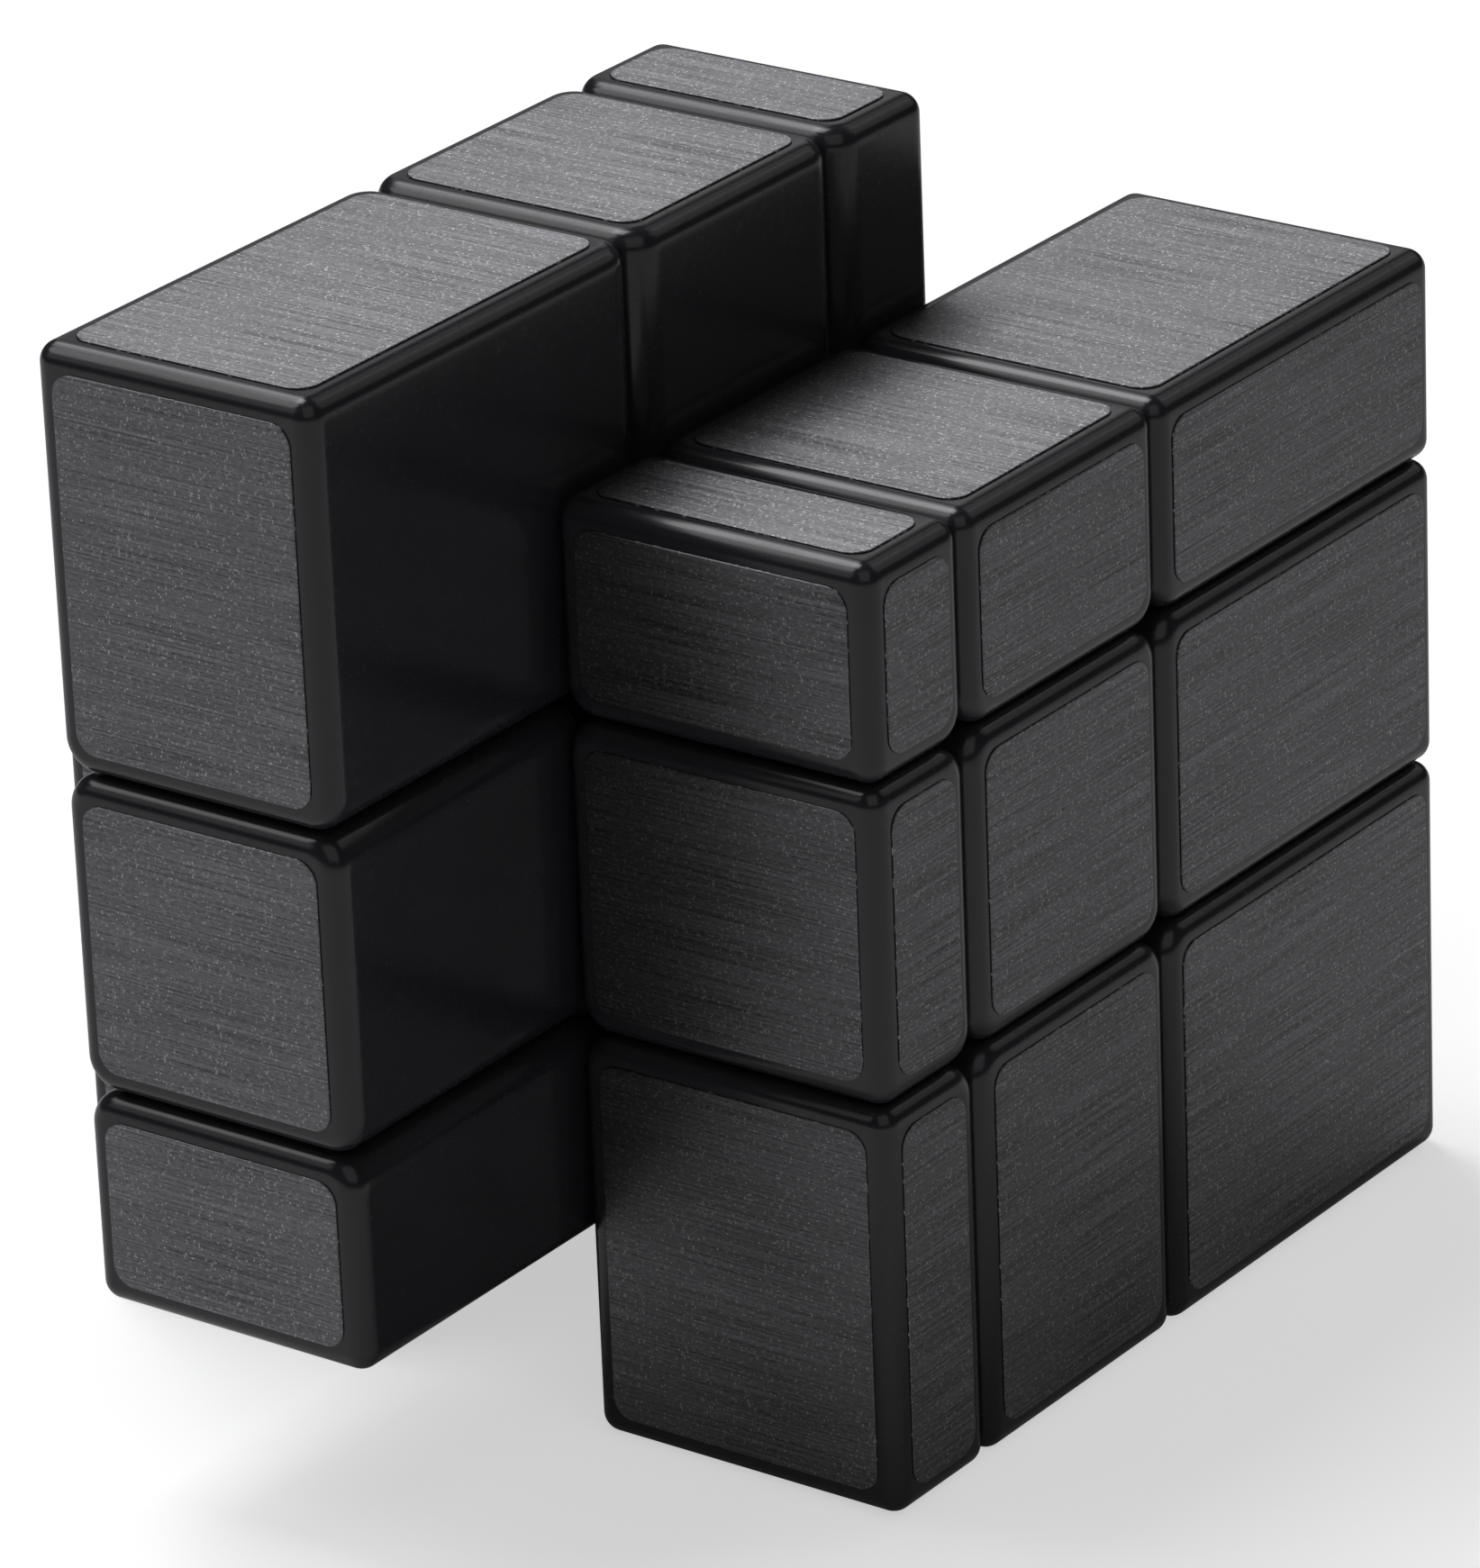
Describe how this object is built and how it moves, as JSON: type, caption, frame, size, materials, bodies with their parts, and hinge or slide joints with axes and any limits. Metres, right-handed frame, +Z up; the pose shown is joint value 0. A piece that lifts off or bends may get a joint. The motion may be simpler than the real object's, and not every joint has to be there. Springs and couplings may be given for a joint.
{
  "type": "mirror block cube",
  "caption": "Mirror block puzzle cube: glossy black hollow cubies of uneven sizes with brushed grey stickers, middle slice half turned.",
  "frame": {"origin": "under the middle of the whole object, on the plane it rests on", "axes": "+X right along the longest extent, +Y back along the turning axis of the layers, +Z up"},
  "size_m": [0.077, 0.057, 0.069],
  "materials": {
    "cap": "glossy black injection-moulded ABS",
    "foot": "black injection-moulded ABS, greased",
    "core": "moulded nylon",
    "sticker": "metallised film sticker with a brushed grain",
    "steel": "zinc-plated steel",
    "spring_steel": "drawn spring wire"
  },
  "bodies": {
    "middle_slice": {"core": "core", "screws": "steel", "washers": "steel", "springs": "spring_steel", "bottom_centre_base": "foot", "left_centre_base": "foot", "right_centre_base": "foot", "top_centre_base": "foot", "middle_edge_feet": "foot", "bottom_left_edge": "cap", "bottom_centre_cap": "cap", "bottom_right_edge": "cap", "left_centre_cap": "cap", "right_centre_cap": "cap", "top_left_edge": "cap", "top_centre_cap": "cap", "top_right_edge": "cap", "middle_slice_left_stickers": "sticker", "middle_slice_right_stickers": "sticker", "middle_slice_bottom_stickers": "sticker", "middle_slice_top_stickers": "sticker"},
    "front_layer": {"front_centre_base": "foot", "front_corner_feet": "foot", "front_edge_feet": "foot", "front_bottom_left_corner": "cap", "front_bottom_edge": "cap", "front_bottom_right_corner": "cap", "front_left_edge": "cap", "front_centre_cap": "cap", "front_right_edge": "cap", "front_top_left_corner": "cap", "front_top_edge": "cap", "front_top_right_corner": "cap", "front_layer_left_stickers": "sticker", "front_layer_right_stickers": "sticker", "front_layer_front_stickers": "sticker", "front_layer_bottom_stickers": "sticker", "front_layer_top_stickers": "sticker"},
    "back_layer": {"back_centre_base": "foot", "back_corner_feet": "foot", "back_edge_feet": "foot", "back_bottom_left_corner": "cap", "back_bottom_edge": "cap", "back_bottom_right_corner": "cap", "back_left_edge": "cap", "back_centre_cap": "cap", "back_right_edge": "cap", "back_top_left_corner": "cap", "back_top_edge": "cap", "back_top_right_corner": "cap", "back_layer_left_stickers": "sticker", "back_layer_right_stickers": "sticker", "back_layer_back_stickers": "sticker", "back_layer_bottom_stickers": "sticker", "back_layer_top_stickers": "sticker"}
  },
  "joints": [
    {"name": "front_layer_turn", "type": "hinge", "parent": "middle_slice", "child": "front_layer", "pos_m": [0, -0.018, 0.0345], "axis": [0, 1, 0], "continuous": true},
    {"name": "back_layer_turn", "type": "hinge", "parent": "middle_slice", "child": "back_layer", "pos_m": [0, 0.02, 0.0345], "axis": [0, 1, 0], "continuous": true}
  ]
}
